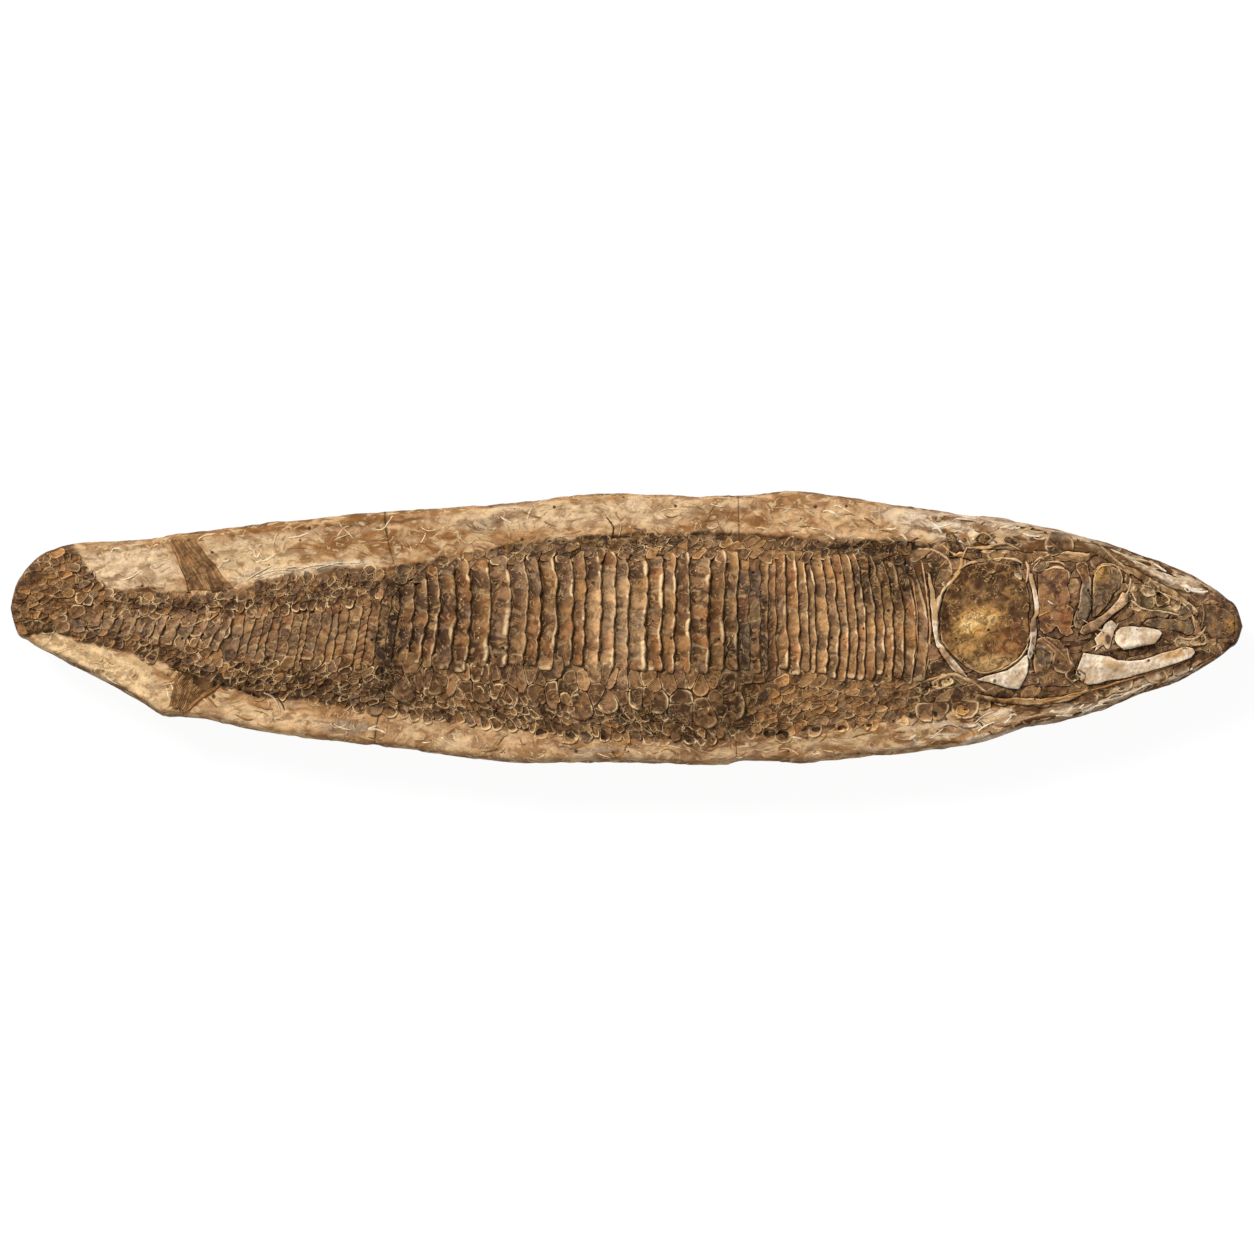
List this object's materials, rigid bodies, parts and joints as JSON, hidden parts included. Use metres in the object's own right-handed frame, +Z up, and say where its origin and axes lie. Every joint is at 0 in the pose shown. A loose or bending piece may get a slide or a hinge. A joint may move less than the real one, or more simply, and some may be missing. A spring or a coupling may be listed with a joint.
{
  "type": "fossil fish",
  "caption": "Fossil fish in relief on a long opened stone nodule, with tall flank scales, fins and flattened skull bones; a still display piece that lies flat on a table.",
  "frame": {"origin": "middle of the nodule's box, on the table it rests on", "axes": "+X to the snout along the length, +Y to the fish's back, +Z up out of the bedding plane"},
  "size_m": [0.553, 0.1229, 0.0472],
  "materials": {
    "stone": "matt weathered carbonate",
    "scale": "satin fossil enamel",
    "fin": "satin fossil fin rays",
    "brown_bone": "satin brown fossil bone",
    "pale_bone": "chalky pale fossil bone"
  },
  "bodies": {
    "root": {"stone_tail": "stone", "stone_trunk": "stone", "stone_head": "stone", "tail_stem": "scale", "flank_rear": "scale", "flank_middle": "scale", "flank_front": "scale", "back_rear": "scale", "back_middle": "scale", "back_front": "scale", "belly_rear": "scale", "belly_middle": "scale", "belly_front": "scale", "tail_fin_upper": "fin", "tail_fin_lower": "fin", "dorsal_fin": "fin", "anal_fin": "fin", "operculum": "brown_bone", "cheek_upper": "brown_bone", "cheek_lower": "brown_bone", "cheek_hind": "brown_bone", "suspensorium": "brown_bone", "skull_roof": "brown_bone", "snout_plate": "brown_bone", "upper_jaw": "brown_bone", "snout_tip": "brown_bone", "throat_bar": "brown_bone", "shoulder_girdle": "pale_bone", "subopercle": "pale_bone", "preopercle": "pale_bone", "jaw_strut": "pale_bone", "snout_bar": "pale_bone", "maxilla": "pale_bone", "lower_jaw": "pale_bone", "jaw_joint": "pale_bone"}
  },
  "joints": []
}
